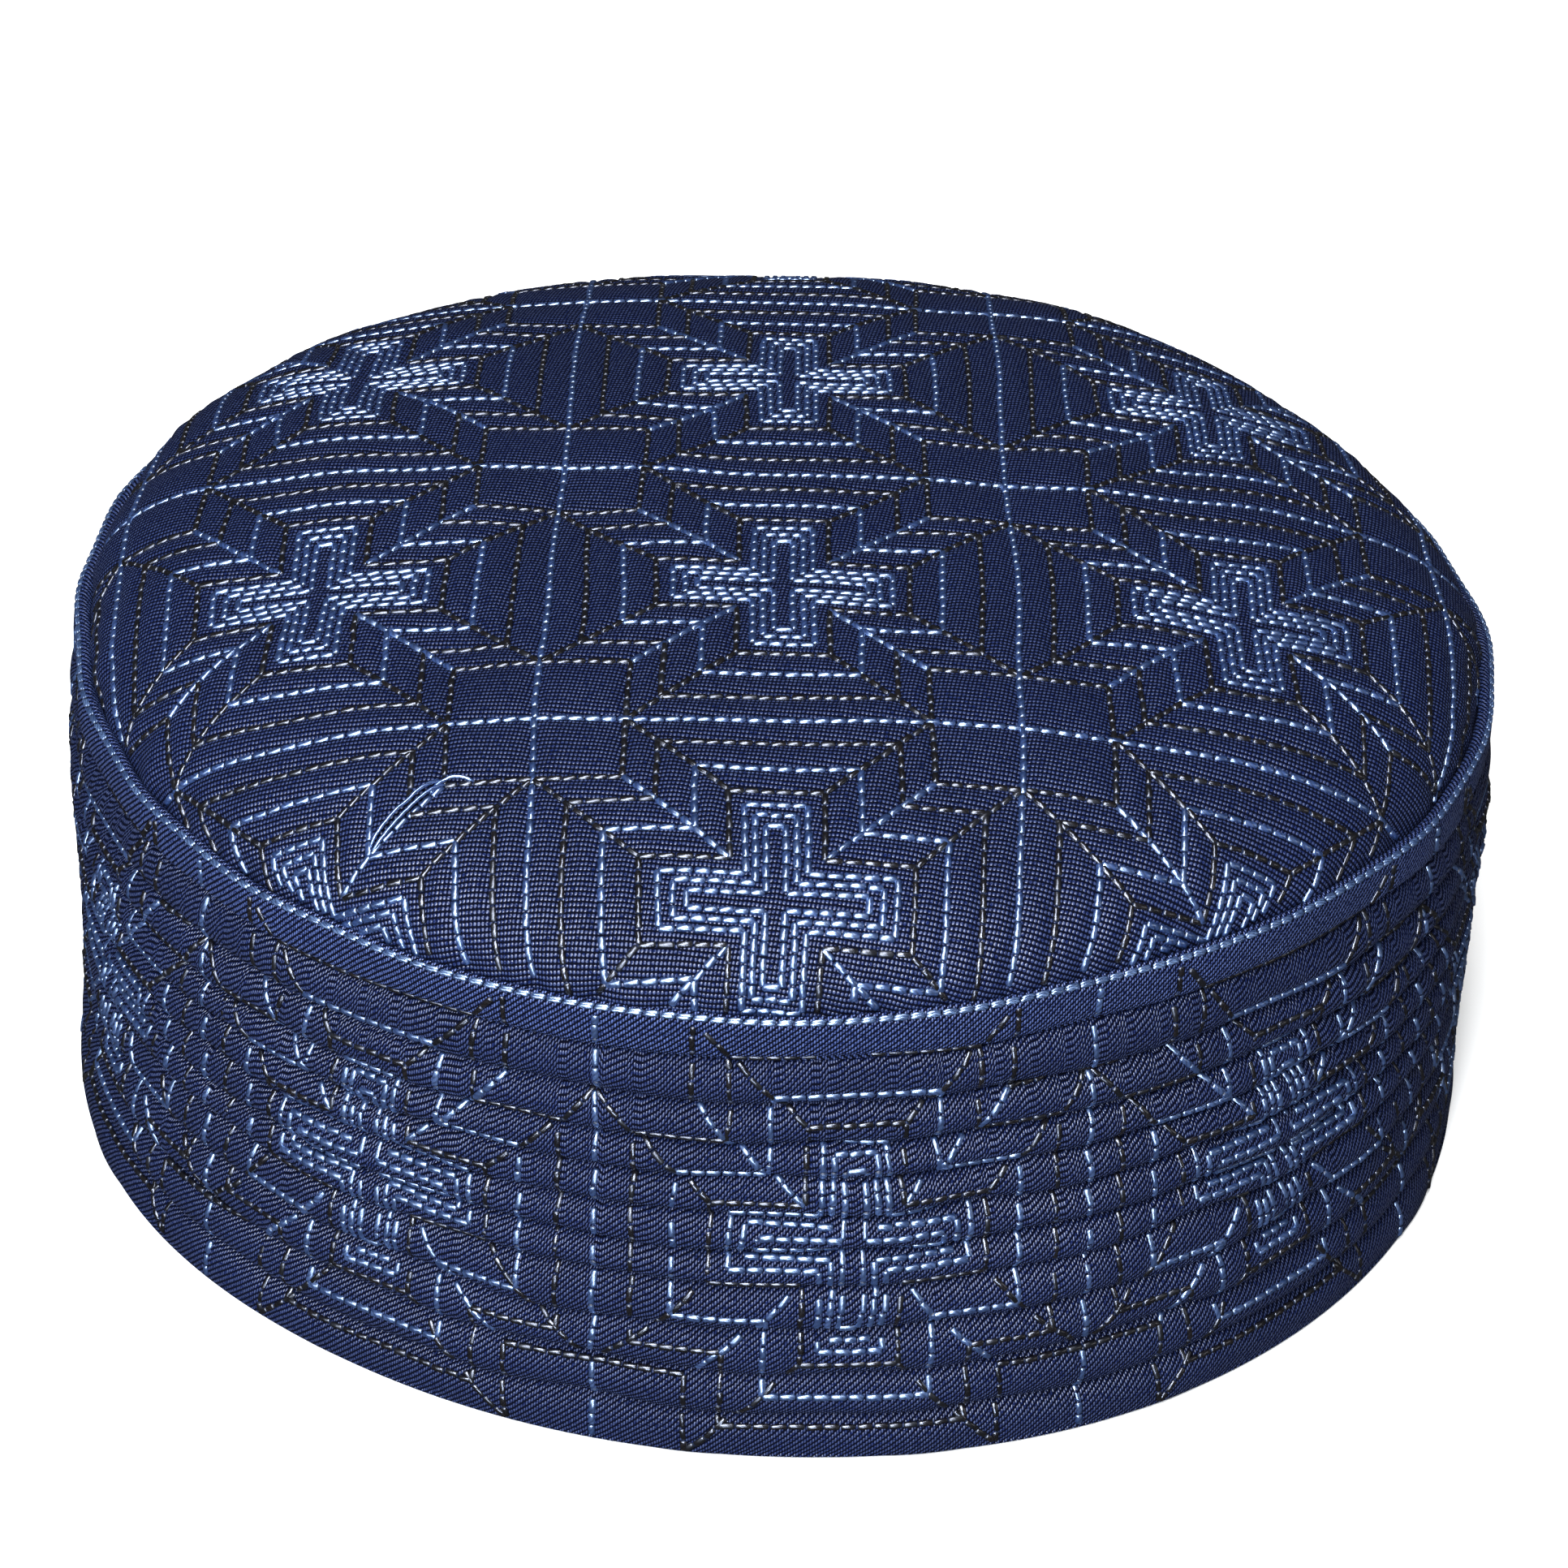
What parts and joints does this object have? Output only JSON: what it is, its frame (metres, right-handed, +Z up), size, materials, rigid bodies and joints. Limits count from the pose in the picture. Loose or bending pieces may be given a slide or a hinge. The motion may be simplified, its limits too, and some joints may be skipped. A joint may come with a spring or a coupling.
{
  "type": "quilted kufi cap",
  "caption": "Round brimless cloth cap with a puffed quilted top, a folded rim and a standing side band of horizontal tucks.",
  "frame": {"origin": "on the surface that the cap rests on, under the middle of the cap", "axes": "+Z up through the top of the cap, -Y towards the side that faces the viewer, +X to that viewer's right"},
  "size_m": [0.191, 0.1888, 0.0841],
  "materials": {
    "crown_cloth": "navy twill, quilted",
    "rim_cloth": "navy twill, folded and edge stitched",
    "band_cloth": "navy twill, tucked and quilted",
    "light_thread": "light blue sewing thread",
    "mixed_thread": "black and white mixed sewing thread"
  },
  "bodies": {
    "root": {"crown_top": "crown_cloth", "rim_binding": "rim_cloth", "side_band": "band_cloth"}
  },
  "joints": []
}
